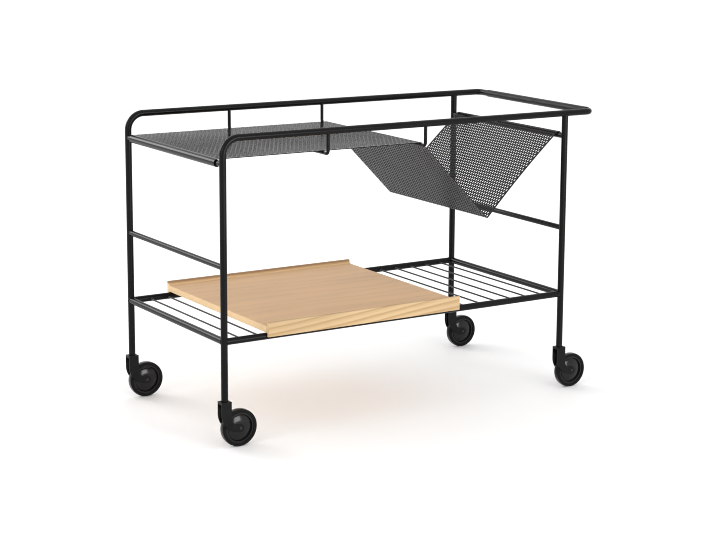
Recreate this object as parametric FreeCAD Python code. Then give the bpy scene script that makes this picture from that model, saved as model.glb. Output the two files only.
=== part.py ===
import FreeCAD, Part
import math
import os

from FreeCAD import Vector

# Storage trolley: bent tube frame on four swivel casters, a folded sheet shelf with a
# V-shaped magazine pocket, a wire rack below and a loose wooden tray on it.
# Millimetres, +X along the trolley towards the handle, +Y away from the front, +Z up.
# The origin is on the floor, in the middle of the outer box.

# Frame tube and the plan of the four legs
tube_diameter = 12.0
tube_wall = 1.5
leg_span_x = 724.0
leg_span_y = 368.0
handle_reach = 63.0
corner_bend_radius = 30.0
handle_bend_radius = 12.0
weld_gap = 0.05
cope_trim = 3.0

# Heights, each measured up from the piece below
leg_below_lower_rail = 105.0
mid_rung_rise = 128.5
shelf_bar_rise = 305.0
top_rail_rise = 348.5

# Bars, wires and the rack
bar_diameter = 10.0
cradle_wire_diameter = 6.0
cradle_bend_radius = 6.5
cradle_inset = 2.7
cradle_from_left_legs = (206.0, 409.0)
rack_wire_diameter = 3.0
rack_bays = 20

# Folded sheet
sheet_thickness = 1.5
sheet_width = 331.0
sheet_seat_gap = 0.05
sheet_curl_gap = 0.8
left_curl_end_angle = 285.0
right_curl_end_angle = -5.0
pocket_from_left_legs = 560.3
pocket_depth = 151.3
pocket_fold_radius = 2.0
pocket_bow = 3.0
bow_rounds = 12

# Openings in the sheet: its fine perforation, drawn larger with the same open share
openings_across = 12
opening_share = 0.68
opening_edge = 6.0

# Handle sleeve
grip_length = 322.0
grip_towards_front = 10.7
grip_wall = 1.0
grip_fit = 0.05

# Wooden tray
tray_length = 399.0
tray_from_left_legs = 80.0
tray_seat_gap = 0.3
tray_panel_thickness = 12.0
tray_lip_rise = 7.5
tray_lip_top_width = 6.0
tray_cove_radius = 5.0
tray_hook_drop = 6.3
tray_hook_thickness = 5.6
tray_hook_clearance = 0.6
tray_edge_round = 1.5
tray_end_round = 1.0

# Caster
wheel_diameter = 66.5
tyre_width = 12.0
tyre_height = 6.5
tyre_shoulder = 1.5
tyre_crown = 0.4
tyre_fit = 0.05
rim_rib_height = 1.5
rim_rib_width = 4.0
rim_width = 10.0
rim_height = 4.3
rim_bevel = 1.6
hub_groove_width = 1.2
hub_groove_depth = 1.2
hub_boss_diameter = 10.0
hub_boss_width = 12.2
hub_dome_centre_width = 11.4
hub_dome_edge_width = 5.6
hub_dome_crown = 0.9
axle_diameter = 5.0
axle_running_fit = 0.05
axle_press_gap = 0.01
axle_proud = 0.7
axle_end_round = 0.6
fork_length = 19.0
fork_width = 16.8
fork_arm = 2.0
fork_rise = 49.75
fork_trail = 26.5
fork_boss_radius = 7.0
fork_heel_rise = 27.5
fork_corner_round = 1.0
fork_inner_fillet = 13.0
fork_edge_round = 0.6
fork_hood_gap = 1.5
fork_recess_diameter = 14.6
fork_recess_depth = 4.0

# Stem and its socket in the leg
stem_diameter = 6.0
stem_seat_depth = 14.0
stem_socket_depth = 30.0
stem_running_fit = 0.05
stem_press_gap = 0.01
stem_collar_diameter = 10.0
stem_point = 1.0
swivel_gap = 1.5
swivel_clearance = 0.3
socket_length = 34.0
socket_flange = 2.0
socket_press_gap = 0.01

# Worked-out levels and places
tube_radius = tube_diameter / 2
bar_radius = bar_diameter / 2
cradle_radius = cradle_wire_diameter / 2
rack_radius = rack_wire_diameter / 2
grip_radius = tube_radius + grip_fit + grip_wall
wheel_radius = wheel_diameter / 2
axle_z = wheel_radius
fork_top_z = axle_z + fork_rise
recess_floor_z = fork_top_z - fork_recess_depth
socket_bottom_z = recess_floor_z + swivel_gap
leg_bottom_z = socket_bottom_z + socket_flange
lower_rail_z = leg_bottom_z + leg_below_lower_rail
mid_rung_z = lower_rail_z + mid_rung_rise
shelf_bar_z = lower_rail_z + shelf_bar_rise
top_rail_z = lower_rail_z + top_rail_rise

# The outer box runs from the left caster forks to the outside of the grip
reach_left = max(fork_length / 2, tube_radius)
reach_right = handle_reach + grip_radius
left_x = -(leg_span_x + reach_right - reach_left) / 2
right_x = left_x + leg_span_x
handle_x = right_x + handle_reach
near_y = -leg_span_y / 2
far_y = leg_span_y / 2

opening_pitch = (sheet_width - 2 * opening_edge) / (openings_across + 0.5)
opening_row_pitch = opening_pitch * math.sqrt(3) / 2
opening_diameter = opening_pitch * opening_share
punch_reach = 2 * (sheet_thickness + pocket_bow)
sheet_under_z = shelf_bar_z + bar_radius + sheet_curl_gap
cradle_z = sheet_under_z - sheet_seat_gap - cradle_radius
corners = {
    "near_left": (left_x, near_y),
    "far_left": (left_x, far_y),
    "near_right": (right_x, near_y),
    "far_right": (right_x, far_y),
}


def save(name, shape):
    if not shape.isValid():
        raise ValueError(name + " is not a valid shape")
    shape.exportStep("parts/" + name + ".step")
    print(name, len(shape.Solids), round(shape.Volume, 1))


def line(a, b):
    return Part.LineSegment(a, b).toShape()


def arc(a, middle, b):
    return Part.Arc(a, middle, b).toShape()


def quarter(a, corner, b):
    """Quarter bend from a to b inside the square corner they share."""
    centre = a + b - corner
    middle = centre + (corner - centre).normalize() * (a - centre).Length
    return arc(a, middle, b)


def bar(a, b, radius):
    return Part.makeCylinder(radius, (b - a).Length, a, b - a)


def swept(edges, radius):
    path = Part.Wire(edges)
    start = path.Edges[0]
    direction = start.tangentAt(start.FirstParameter)
    profile = Part.Wire(Part.makeCircle(radius, start.valueAt(start.FirstParameter), direction))
    return path.makePipeShell([profile], True, False)


def along_x(y, z, end_x):
    """Clearing envelope of a long rail that runs from the left legs to end_x."""
    return bar(Vector(left_x, y, z), Vector(end_x, y, z), tube_radius + weld_gap)


def along_z(x, y):
    """Clearing envelope of a leg."""
    return bar(Vector(x, y, leg_bottom_z), Vector(x, y, top_rail_z), tube_radius + weld_gap)


def top_rail_loop():
    """Both left legs, both top rails and the handle, bent from one tube."""
    rail_start_x = left_x + corner_bend_radius
    rail_end_x = handle_x - handle_bend_radius
    bend_z = top_rail_z - corner_bend_radius
    cross_y = far_y - handle_bend_radius
    near_foot = Vector(left_x, near_y, leg_bottom_z)
    near_bend = Vector(left_x, near_y, bend_z)
    near_start = Vector(rail_start_x, near_y, top_rail_z)
    near_end = Vector(rail_end_x, near_y, top_rail_z)
    near_cross = Vector(handle_x, -cross_y, top_rail_z)
    far_cross = Vector(handle_x, cross_y, top_rail_z)
    far_end = Vector(rail_end_x, far_y, top_rail_z)
    far_start = Vector(rail_start_x, far_y, top_rail_z)
    far_bend = Vector(left_x, far_y, bend_z)
    far_foot = Vector(left_x, far_y, leg_bottom_z)
    edges = [
        line(near_foot, near_bend),
        quarter(near_bend, Vector(left_x, near_y, top_rail_z), near_start),
        line(near_start, near_end),
        quarter(near_end, Vector(handle_x, near_y, top_rail_z), near_cross),
        line(near_cross, far_cross),
        quarter(far_cross, Vector(handle_x, far_y, top_rail_z), far_end),
        line(far_end, far_start),
        quarter(far_start, Vector(left_x, far_y, top_rail_z), far_bend),
        line(far_bend, far_foot),
    ]
    outside = swept(edges, tube_radius)
    return outside.cut(swept(edges, tube_radius - tube_wall))


def right_leg(y):
    foot = Vector(right_x, y, leg_bottom_z)
    head = Vector(right_x, y, top_rail_z - cope_trim)
    tube = bar(foot, head, tube_radius).cut(bar(foot, head, tube_radius - tube_wall))
    return tube.cut(along_x(y, top_rail_z, handle_x))


def cross_bar(x, z, radius):
    """Bar across the trolley, coped to the two legs at its end."""
    rod = bar(Vector(x, near_y, z), Vector(x, far_y, z), radius)
    return rod.cut(along_z(x, near_y)).cut(along_z(x, far_y))


def lower_rung(x):
    """Lower end rung, cut back where the long rails meet the same leg."""
    trim = Vector(0, cope_trim, 0)
    start = Vector(x, near_y, lower_rail_z) + trim
    end = Vector(x, far_y, lower_rail_z) - trim
    tube = bar(start, end, tube_radius).cut(bar(start, end, tube_radius - tube_wall))
    for y in (near_y, far_y):
        tube = tube.cut(along_z(x, y))
        tube = tube.cut(along_x(y, lower_rail_z, right_x))
    return tube


def lower_rail(y):
    start = Vector(left_x + cope_trim, y, lower_rail_z)
    end = Vector(right_x - cope_trim, y, lower_rail_z)
    tube = bar(start, end, tube_radius).cut(bar(start, end, tube_radius - tube_wall))
    return tube.cut(along_z(left_x, y)).cut(along_z(right_x, y))


def rack_wires():
    """Cross wires in even bays, butted to the inner sides of the lower rails."""
    pitch = leg_span_x / rack_bays
    rails = along_x(near_y, lower_rail_z, right_x).fuse(along_x(far_y, lower_rail_z, right_x))
    wires = []
    for number in range(1, rack_bays):
        x = left_x + number * pitch
        wire = bar(Vector(x, near_y, lower_rail_z), Vector(x, far_y, lower_rail_z), rack_radius)
        middle = [piece for piece in wire.cut(rails).Solids if abs(piece.CenterOfMass.y) < rack_radius]
        wires.extend(middle)
    return Part.makeCompound(wires)


def cradle_wire(x):
    """U-shaped wire hung from the inner sides of both top rails, with the sheet lying on
    its cross run."""
    side_y = far_y - cradle_inset
    bend_z = cradle_z + cradle_bend_radius
    run_y = side_y - cradle_bend_radius
    points = [
        Vector(x, -side_y, top_rail_z),
        Vector(x, -side_y, bend_z),
        Vector(x, -run_y, cradle_z),
        Vector(x, run_y, cradle_z),
        Vector(x, side_y, bend_z),
        Vector(x, side_y, top_rail_z),
    ]
    edges = [
        line(points[0], points[1]),
        quarter(points[1], Vector(x, -side_y, cradle_z), points[2]),
        line(points[2], points[3]),
        quarter(points[3], Vector(x, side_y, cradle_z), points[4]),
        line(points[4], points[5]),
    ]
    wire = swept(edges, cradle_radius)
    for y in (near_y, far_y):
        wire = wire.cut(along_x(y, top_rail_z, handle_x))
    return wire


def on_circle(centre, radius, degrees):
    turn = math.radians(degrees)
    return Vector(centre[0] + radius * math.cos(turn), 0, centre[1] + radius * math.sin(turn))


def arc_on(centre, radius, first, last):
    return arc(*[on_circle(centre, radius, angle) for angle in (first, (first + last) / 2, last)])


def panel_punches(start, end):
    """Punches in staggered rows, square to the panel whose underside runs from start to end."""
    run = end - start
    along = Vector(run).normalize()
    reach = Vector(-along.z, 0, along.x) * punch_reach
    rows = int((run.Length - opening_diameter - 2 * opening_edge) / opening_row_pitch) + 1
    first = (run.Length - (rows - 1) * opening_row_pitch) / 2
    punches = []
    for row in range(rows):
        foot = start + along * (first + row * opening_row_pitch)
        stagger = opening_pitch / 4 if row % 2 else -opening_pitch / 4
        for column in range(openings_across):
            across = Vector(0, (column - (openings_across - 1) / 2) * opening_pitch + stagger, 0)
            punches.append(bar(foot + across - reach, foot + across + reach, opening_diameter / 2))
    return punches


def folded_sheet():
    """One sheet: curled round the left bar, flat to the second cradle wire, folded into
    the V of the magazine pocket and curled over the right bar."""
    seat = bar_radius + sheet_curl_gap
    left_bar = (left_x, shelf_bar_z)
    right_bar = (right_x, shelf_bar_z)
    wire = (left_x + cradle_from_left_legs[1], cradle_z)
    wire_seat = cradle_radius + sheet_seat_gap
    fold_under = pocket_fold_radius + sheet_thickness
    fold = (left_x + pocket_from_left_legs, sheet_under_z - pocket_depth + fold_under)

    # The left panel is a line that touches the wire's turn and the fold
    down_x = fold[0] - wire[0]
    down_z = fold[1] - wire[1]
    down_slope = math.atan2(down_z, down_x) - math.asin((wire_seat + fold_under) / math.hypot(down_x, down_z))
    down = math.degrees(down_slope)

    # The right panel bows into the pocket, as an arc that runs smoothly into both turns:
    # its slope is found by going over it until the ends agree
    up = 90.0 + down
    lean = 0.0
    for settle in range(bow_rounds):
        bow_start = on_circle(fold, fold_under, 270.0 + up + lean)
        chord = on_circle(right_bar, seat, 90.0 + up - lean) - bow_start
        up = math.degrees(math.atan2(chord.z, chord.x))
        lean = math.degrees(2 * math.atan(2 * pocket_bow / chord.Length))
    bow_radius = chord.Length / (2 * math.sin(math.radians(lean)))
    bow_centre = on_circle((bow_start.x, bow_start.z), bow_radius, 270.0 + up + lean)
    bow = (bow_centre.x, bow_centre.z)

    # Each turn: centre, radius of the underside, first and last angle, side the sheet lies on
    turns = [
        (left_bar, seat, left_curl_end_angle, 90.0, 1),
        (wire, wire_seat, 90.0, 90.0 + down, 1),
        (fold, fold_under, 270.0 + down, 270.0 + up + lean, -1),
        (bow, bow_radius, 90.0 + up + lean, 90.0 + up - lean, 1),
        (right_bar, seat, 90.0 + up - lean, right_curl_end_angle, 1),
    ]
    under = []
    over = []
    for centre, radius, first, last, side in turns:
        outer = radius + side * sheet_thickness
        under.append((arc_on(centre, radius, first, last), on_circle(centre, radius, first),
                      on_circle(centre, radius, last)))
        over.append((arc_on(centre, outer, first, last), on_circle(centre, outer, first),
                     on_circle(centre, outer, last)))
    edges = []
    for row in (under, over):
        for number, (curve, start, end) in enumerate(row):
            edges.append(curve)
            if number + 1 < len(row) and (row[number + 1][1] - end).Length > weld_gap:
                edges.append(line(end, row[number + 1][1]))
    edges.append(line(under[0][1], over[0][1]))
    edges.append(line(under[-1][2], over[-1][2]))
    outline = Part.Wire(Part.__sortEdges__(edges))
    sheet = Part.Face(outline).extrude(Vector(0, sheet_width, 0))
    sheet.translate(Vector(0, -sheet_width / 2, 0))
    shelf = panel_punches(under[0][2], under[1][1])
    left_panel = panel_punches(under[1][2], under[2][1])
    right_panel = panel_punches(under[3][1], under[3][2])
    return sheet.cut(Part.makeCompound(shelf + left_panel + right_panel))


def handle_grip():
    start = Vector(handle_x, -grip_length / 2 - grip_towards_front, top_rail_z)
    end = Vector(handle_x, grip_length / 2 - grip_towards_front, top_rail_z)
    sleeve = bar(start, end, grip_radius)
    sleeve = sleeve.makeFillet(grip_wall / 2, [edge for edge in sleeve.Edges if edge.Closed])
    return sleeve.cut(bar(start, end, tube_radius + grip_fit))


# Levels across the tray, shared by the panel and its two lips
tray_left_x = left_x + tray_from_left_legs
tray_bottom_z = lower_rail_z + tube_radius + tray_seat_gap
tray_top_z = tray_bottom_z + tray_panel_thickness
tray_lip_z = tray_top_z + tray_lip_rise
tray_hook_z = tray_bottom_z - tray_hook_drop
tray_hook_y = far_y + tube_radius + tray_hook_clearance
tray_outer_y = tray_hook_y + tray_hook_thickness
tray_lip_y = tray_outer_y - tray_lip_top_width
tray_joint_y = tray_lip_y - tray_cove_radius


def tray_panel():
    panel = Part.makeBox(tray_length, 2 * tray_joint_y, tray_panel_thickness,
                         Vector(tray_left_x, -tray_joint_y, tray_bottom_z))
    ends = [edge for edge in panel.Edges if edge.BoundBox.YLength > tray_panel_thickness]
    return panel.makeFillet(tray_end_round, ends)


def tray_lip():
    """Far lip of the tray: coved inside, with a hook that drops outside the rail."""
    def point(y, z):
        return Vector(tray_left_x, y, z)

    joint_top = point(tray_joint_y, tray_top_z)
    cove_end = point(tray_lip_y, tray_top_z + tray_cove_radius)
    cove_centre = point(tray_joint_y, tray_top_z + tray_cove_radius)
    cove_middle = cove_centre + Vector(0, 1, -1).normalize() * tray_cove_radius
    round_y = tray_outer_y - tray_edge_round
    top_start = point(tray_lip_y + tray_edge_round, tray_lip_z)
    top_end = point(round_y, tray_lip_z)
    inner_side = point(tray_lip_y, tray_lip_z - tray_edge_round)
    outer_high = point(tray_outer_y, tray_lip_z - tray_edge_round)
    outer_low = point(tray_outer_y, tray_hook_z + tray_edge_round)
    hook_outer = point(round_y, tray_hook_z)
    hook_inner = point(tray_hook_y, tray_hook_z)
    hook_root = point(tray_hook_y, tray_bottom_z)
    joint_bottom = point(tray_joint_y, tray_bottom_z)
    edges = [
        arc(joint_top, cove_middle, cove_end),
        line(cove_end, inner_side),
        quarter(inner_side, point(tray_lip_y, tray_lip_z), top_start),
        line(top_start, top_end),
        quarter(top_end, point(tray_outer_y, tray_lip_z), outer_high),
        line(outer_high, outer_low),
        quarter(outer_low, point(tray_outer_y, tray_hook_z), hook_outer),
        line(hook_outer, hook_inner),
        line(hook_inner, hook_root),
        line(hook_root, joint_bottom),
        line(joint_bottom, joint_top),
    ]
    return Part.Face(Part.Wire(edges)).extrude(Vector(tray_length, 0, 0))


def turned(edges):
    """Solid turned about the axle from edges in the plane of radius (x) and width (y)."""
    face = Part.Face(Part.Wire(edges))
    solid = face.revolve(Vector(0, 0, 0), Vector(0, 1, 0), 360)
    solid.translate(Vector(fork_trail, 0, axle_z))
    return solid


def straight_run(points):
    return [line(a, b) for a, b in zip(points, points[1:])]


def flipped(points):
    """The same points on the other face of the wheel, in the opposite order."""
    return [Vector(point.x, -point.y, 0) for point in reversed(points)]


rim_radius = wheel_radius - tyre_height
groove_outer = rim_radius - rim_height
groove_inner = groove_outer - hub_groove_width


def wheel_hub():
    """Domed hub with a groove before the bevelled rim, and a rib round the rim that holds
    the tyre."""
    bore = axle_diameter / 2 + axle_running_fit
    boss = hub_boss_diameter / 2
    rib = rim_radius + rim_rib_height
    dome_start = Vector(boss, hub_dome_centre_width / 2, 0)
    dome_end = Vector(groove_inner, hub_dome_edge_width / 2, 0)
    dome_middle = (dome_start + dome_end) / 2 + Vector(0, hub_dome_crown, 0)
    floor = dome_end.y - hub_groove_depth
    centre = [
        Vector(bore, hub_boss_width / 2, 0),
        Vector(boss, hub_boss_width / 2, 0),
        dome_start,
    ]
    rim = [
        dome_end,
        Vector(groove_inner, floor, 0),
        Vector(groove_outer, floor, 0),
        Vector(groove_outer + rim_bevel, rim_width / 2, 0),
        Vector(rim_radius, rim_width / 2, 0),
        Vector(rim_radius, rim_rib_width / 2, 0),
        Vector(rib, rim_rib_width / 2, 0),
    ]
    edges = straight_run(centre)
    edges.append(arc(dome_start, dome_middle, dome_end))
    edges.extend(straight_run(rim + flipped(rim)))
    edges.append(arc(*flipped([dome_start, dome_middle, dome_end])))
    edges.extend(straight_run(flipped(centre) + centre[:1]))
    return turned(edges)


def tyre():
    """Soft tyre with a slightly crowned tread, seated round the rim and its rib."""
    seat = rim_radius + tyre_fit
    groove = seat + rim_rib_height
    groove_half = rim_rib_width / 2 + tyre_fit
    half_width = tyre_width / 2
    shoulder_radius = wheel_radius - tyre_crown
    low = Vector(shoulder_radius - tyre_shoulder, half_width, 0)
    corner = Vector(shoulder_radius, half_width, 0)
    high = Vector(shoulder_radius, half_width - tyre_shoulder, 0)
    side = [
        Vector(groove, groove_half, 0),
        Vector(seat, groove_half, 0),
        Vector(seat, half_width, 0),
        low,
    ]
    far_high, far_corner, far_low = flipped([low, corner, high])
    edges = straight_run(side)
    edges.append(quarter(low, corner, high))
    edges.append(arc(high, Vector(wheel_radius, 0, 0), far_high))
    edges.append(quarter(far_high, far_corner, far_low))
    edges.extend(straight_run(flipped(side) + side[:1]))
    return turned(edges)


def wheel_axle():
    """Axle pin with rounded ends that stand just proud of the fork arms."""
    centre = Vector(fork_trail, 0, axle_z)
    end = Vector(0, fork_width / 2 + axle_proud, 0)
    pin = bar(centre - end, centre + end, axle_diameter / 2)
    return pin.makeFillet(axle_end_round, [edge for edge in pin.Edges if edge.Closed])


def caster_fork():
    """Moulded fork: a block with a recess for the foot of the leg, a hood that follows the
    wheel and two arms that swing forward to the axle."""
    half = fork_length / 2
    corner = fork_corner_round
    fillet = fork_inner_fillet
    foot_z = axle_z + fork_boss_radius
    heel_z = axle_z + fork_heel_rise

    # The heel is one arc, upright at the back of the block and touching the axle boss below
    span = fork_trail + half
    heel_radius = (span ** 2 + fork_heel_rise ** 2 - fork_boss_radius ** 2) / (2 * (span - fork_boss_radius))
    heel_x = heel_radius - half
    to_boss = Vector(fork_trail - heel_x, 0, axle_z - heel_z)
    reach = Vector(to_boss).normalize()
    boss_low = Vector(fork_trail, 0, axle_z) + reach * fork_boss_radius
    heel_start = Vector(-half, 0, heel_z)
    heel_centre = Vector(heel_x, 0, heel_z)
    heel_middle = heel_centre + (Vector(-1, 0, 0) + reach).normalize() * heel_radius
    boss_high = Vector(fork_trail, 0, foot_z)
    boss_front = Vector(fork_trail + fork_boss_radius, 0, axle_z)
    edges = [
        arc(heel_start, heel_middle, boss_low),
        arc(boss_low, boss_front, boss_high),
        line(boss_high, Vector(half + fillet, 0, foot_z)),
        quarter(Vector(half + fillet, 0, foot_z), Vector(half, 0, foot_z), Vector(half, 0, foot_z + fillet)),
        line(Vector(half, 0, foot_z + fillet), Vector(half, 0, fork_top_z - corner)),
        quarter(Vector(half, 0, fork_top_z - corner), Vector(half, 0, fork_top_z),
                Vector(half - corner, 0, fork_top_z)),
        line(Vector(half - corner, 0, fork_top_z), Vector(corner - half, 0, fork_top_z)),
        quarter(Vector(corner - half, 0, fork_top_z), Vector(-half, 0, fork_top_z),
                Vector(-half, 0, fork_top_z - corner)),
        line(Vector(-half, 0, fork_top_z - corner), heel_start),
    ]
    body = Part.Face(Part.Wire(edges)).extrude(Vector(0, fork_width, 0))
    body.translate(Vector(0, -fork_width / 2, 0))
    side_edges = []
    for edge in body.Edges:
        low, high = edge.BoundBox.YMin, edge.BoundBox.YMax
        if high - low < fork_edge_round:
            side_edges.append(edge)
    body = body.makeFillet(fork_edge_round, side_edges)

    axle = Vector(fork_trail, 0, axle_z)
    across = Vector(0, fork_width, 0)
    inside = Vector(0, fork_width / 2 - fork_arm, 0)
    body = body.cut(bar(axle - inside, axle + inside, wheel_radius + fork_hood_gap))
    body = body.cut(bar(axle - across, axle + across, axle_diameter / 2 + axle_press_gap))
    recess_floor = Vector(0, 0, recess_floor_z)
    stem_end = Vector(0, 0, recess_floor_z - stem_seat_depth)
    body = body.cut(bar(recess_floor, Vector(0, 0, fork_top_z), fork_recess_diameter / 2))
    return body.cut(bar(stem_end, recess_floor, stem_diameter / 2 + stem_press_gap))


def swivel_stem():
    """Steel stem fixed in the fork, with the collar that carries the leg."""
    foot = Vector(0, 0, recess_floor_z - stem_seat_depth)
    head = Vector(0, 0, socket_bottom_z + stem_socket_depth)
    collar_top = Vector(0, 0, socket_bottom_z - swivel_clearance)
    pin = bar(foot, head, stem_diameter / 2)
    tip = [edge for edge in pin.Edges if edge.Closed and edge.BoundBox.ZMin > collar_top.z]
    pin = pin.makeChamfer(stem_point, tip)
    return pin.fuse(bar(Vector(0, 0, recess_floor_z), collar_top, stem_collar_diameter / 2))


def stem_socket():
    """Plastic sleeve pressed into the leg, with a flange that closes the tube end."""
    bottom = Vector(0, 0, socket_bottom_z)
    sleeve_top = Vector(0, 0, leg_bottom_z + socket_length)
    flange = bar(bottom, Vector(0, 0, leg_bottom_z), tube_radius)
    sleeve = bar(bottom, sleeve_top, tube_radius - tube_wall - socket_press_gap)
    return flange.fuse(sleeve).cut(bar(bottom, sleeve_top, stem_diameter / 2 + stem_running_fit))


def main():
    os.makedirs("parts", exist_ok=True)

    save("top_rail_loop", top_rail_loop())
    for side, y in (("near", near_y), ("far", far_y)):
        save("right_leg_" + side, right_leg(y))
        save("lower_rail_" + side, lower_rail(y))
    for end, x in (("left", left_x), ("right", right_x)):
        save("shelf_bar_" + end, cross_bar(x, shelf_bar_z, bar_radius))
        save("mid_rung_" + end, cross_bar(x, mid_rung_z, bar_radius))
        save("lower_rung_" + end, lower_rung(x))
    save("lower_rack_wires", rack_wires())
    for place, distance in zip(("left", "middle"), cradle_from_left_legs):
        save("cradle_wire_" + place, cradle_wire(left_x + distance))
    save("perforated_shelf", folded_sheet())
    save("handle_grip", handle_grip())

    save("tray_panel", tray_panel())
    far_lip = tray_lip()
    save("tray_back_lip", far_lip)
    save("tray_front_lip", far_lip.mirror(Vector(0, 0, 0), Vector(0, 1, 0)))

    caster_pieces = {
        "stem_socket": stem_socket(),
        "swivel_stem": swivel_stem(),
        "caster_fork": caster_fork(),
        "wheel_axle": wheel_axle(),
        "wheel_hub": wheel_hub(),
        "tyre": tyre(),
    }
    for corner, (x, y) in corners.items():
        for name, piece in caster_pieces.items():
            placed = piece.copy()
            placed.translate(Vector(x, y, 0))
            save(name + "_" + corner, placed)


main()
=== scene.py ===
import bmesh
import bpy
import math
from mathutils import Matrix, Vector


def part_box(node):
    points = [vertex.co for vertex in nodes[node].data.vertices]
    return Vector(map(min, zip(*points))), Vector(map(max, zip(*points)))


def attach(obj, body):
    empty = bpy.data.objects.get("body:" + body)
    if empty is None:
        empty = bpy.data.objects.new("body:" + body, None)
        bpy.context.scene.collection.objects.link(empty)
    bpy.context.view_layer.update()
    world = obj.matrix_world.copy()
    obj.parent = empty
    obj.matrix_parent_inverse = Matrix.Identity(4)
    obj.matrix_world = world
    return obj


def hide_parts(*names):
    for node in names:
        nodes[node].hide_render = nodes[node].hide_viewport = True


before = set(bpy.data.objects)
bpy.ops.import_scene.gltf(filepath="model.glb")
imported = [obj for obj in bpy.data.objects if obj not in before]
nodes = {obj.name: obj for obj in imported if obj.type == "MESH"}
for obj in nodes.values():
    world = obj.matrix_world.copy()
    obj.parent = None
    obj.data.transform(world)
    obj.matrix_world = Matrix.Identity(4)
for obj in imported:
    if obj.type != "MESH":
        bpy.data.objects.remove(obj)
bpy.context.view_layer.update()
scene = bpy.context.scene
cornerNames = ("near_left", "far_left", "near_right", "far_right")
print("frame loaded,", len(nodes), "nodes")


# places read off the frame, in metres
def middleOf(node):
    low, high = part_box(node)
    return (low + high) / 2


def sizeOf(node):
    low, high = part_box(node)
    return high - low


leftX, nearY = middleOf("stem_socket_near_left").xy
rightX, farY = middleOf("stem_socket_far_right").xy
topRailZ = middleOf("handle_grip").z
lowerRailZ = middleOf("lower_rail_near").z
midRungZ = middleOf("mid_rung_left").z
shelfBarZ = middleOf("shelf_bar_left").z
tubeRadius = sizeOf("lower_rail_near").z / 2
barRadius = sizeOf("shelf_bar_left").z / 2
rackWireRadius = sizeOf("lower_rack_wires").z / 2
cradleRadius = sizeOf("cradle_wire_left").x / 2
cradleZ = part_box("cradle_wire_left")[0].z + cradleRadius
cradleXs = [middleOf("cradle_wire_left").x, middleOf("cradle_wire_middle").x]
cradleInset = farY - (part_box("cradle_wire_left")[1].y - cradleRadius)


# small helpers for node trees
def put(tree, kind, **settings):
    node = tree.nodes.new(kind)
    for name, value in settings.items():
        setattr(node, name, value)
    return node


def feed(tree, socket, value):
    if isinstance(value, bpy.types.NodeSocket):
        tree.links.new(value, socket)
    elif value is not None:
        socket.default_value = value


def fill(tree, node, **inputs):
    for name, value in inputs.items():
        feed(tree, node.inputs[name.replace("_", " ")], value)
    return node


# a node with its inputs filled, as its first output
def made(tree, kind, **inputs):
    return fill(tree, put(tree, kind), **inputs).outputs[0]


def calc(tree, operation, *values):
    node = put(tree, "ShaderNodeMath", operation=operation)
    for socket, value in zip(node.inputs, values):
        feed(tree, socket, value)
    return node.outputs[0]


def times(tree, result, *others):
    for other in others:
        result = calc(tree, "MULTIPLY", result, other)
    return result


def spread(tree, value, low, high, toLow=0.0, toHigh=1.0):
    node = put(tree, "ShaderNodeMapRange", clamp=True)
    for socket, number in zip(node.inputs, (value, low, high, toLow, toHigh)):
        feed(tree, socket, number)
    return node.outputs[0]


def noise(tree, place, scale=1.0, detail=2.0, rough=0.5, distort=0.0):
    return made(tree, "ShaderNodeTexNoise", Vector=place, Scale=scale, Detail=detail, Roughness=rough,
                Distortion=distort)


def stretch(tree, place, scale, shift=(0, 0, 0), turn=(0, 0, 0)):
    return made(tree, "ShaderNodeMapping", Vector=place, Scale=scale, Location=shift, Rotation=turn)


def vector(tree, x=0.0, y=0.0, z=0.0):
    return made(tree, "ShaderNodeCombineXYZ", X=x, Y=y, Z=z)


def splitVector(tree, value):
    node = put(tree, "ShaderNodeSeparateXYZ")
    feed(tree, node.inputs[0], value)
    return node.outputs


def blendColour(tree, share, a, b):
    node = put(tree, "ShaderNodeMix", data_type="RGBA")
    feed(tree, node.inputs["Factor"], share)
    feed(tree, node.inputs[6], a)  # the colour pair follows the number and vector pairs
    feed(tree, node.inputs[7], b)
    return node.outputs[2]


def bump(tree, height, strength, depth):
    return made(tree, "ShaderNodeBump", Strength=strength, Distance=depth, Height=height)


def coords(tree, kind="Object"):
    return put(tree, "ShaderNodeTexCoord").outputs[kind]


def newGroup(name, inputs, outputs, kind="ShaderNodeTree"):
    tree = bpy.data.node_groups.new(name, kind)
    for label, socketKind, value in inputs:
        socket = tree.interface.new_socket(label, in_out="INPUT", socket_type="NodeSocket" + socketKind)
        if value is not None:
            socket.default_value = value
    for label, socketKind in outputs:
        tree.interface.new_socket(label, in_out="OUTPUT", socket_type="NodeSocket" + socketKind)
    return tree, put(tree, "NodeGroupInput").outputs, put(tree, "NodeGroupOutput").inputs


def useGroup(tree, group, **inputs):
    node = put(tree, "ShaderNodeGroup", node_tree=group)
    return fill(tree, node, **inputs).outputs


def newMaterial(name, **constants):
    material = bpy.data.materials.new(name)
    material.use_nodes = True
    tree = material.node_tree
    shader = tree.nodes["Principled BSDF"]
    fill(tree, shader, **constants)
    return material, tree, shader


def dress(material, *names):
    for name in names:
        node = nodes[name]
        if not node.material_slots:
            node.data.materials.append(material)
        for holder in node.material_slots:
            holder.material = material


# effects that several finishes share: first the skin of a coat, its orange peel and mottle
skinLook = {"peelRough": 0.45, "speckRatio": 3.1, "speckDetail": 1.0, "speckShare": 0.35,
            "mottleDetail": 4.0, "mottleRough": 0.6, "mottleDistort": 0.4, "mottleSpan": (0.3, 0.7)}


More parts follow.
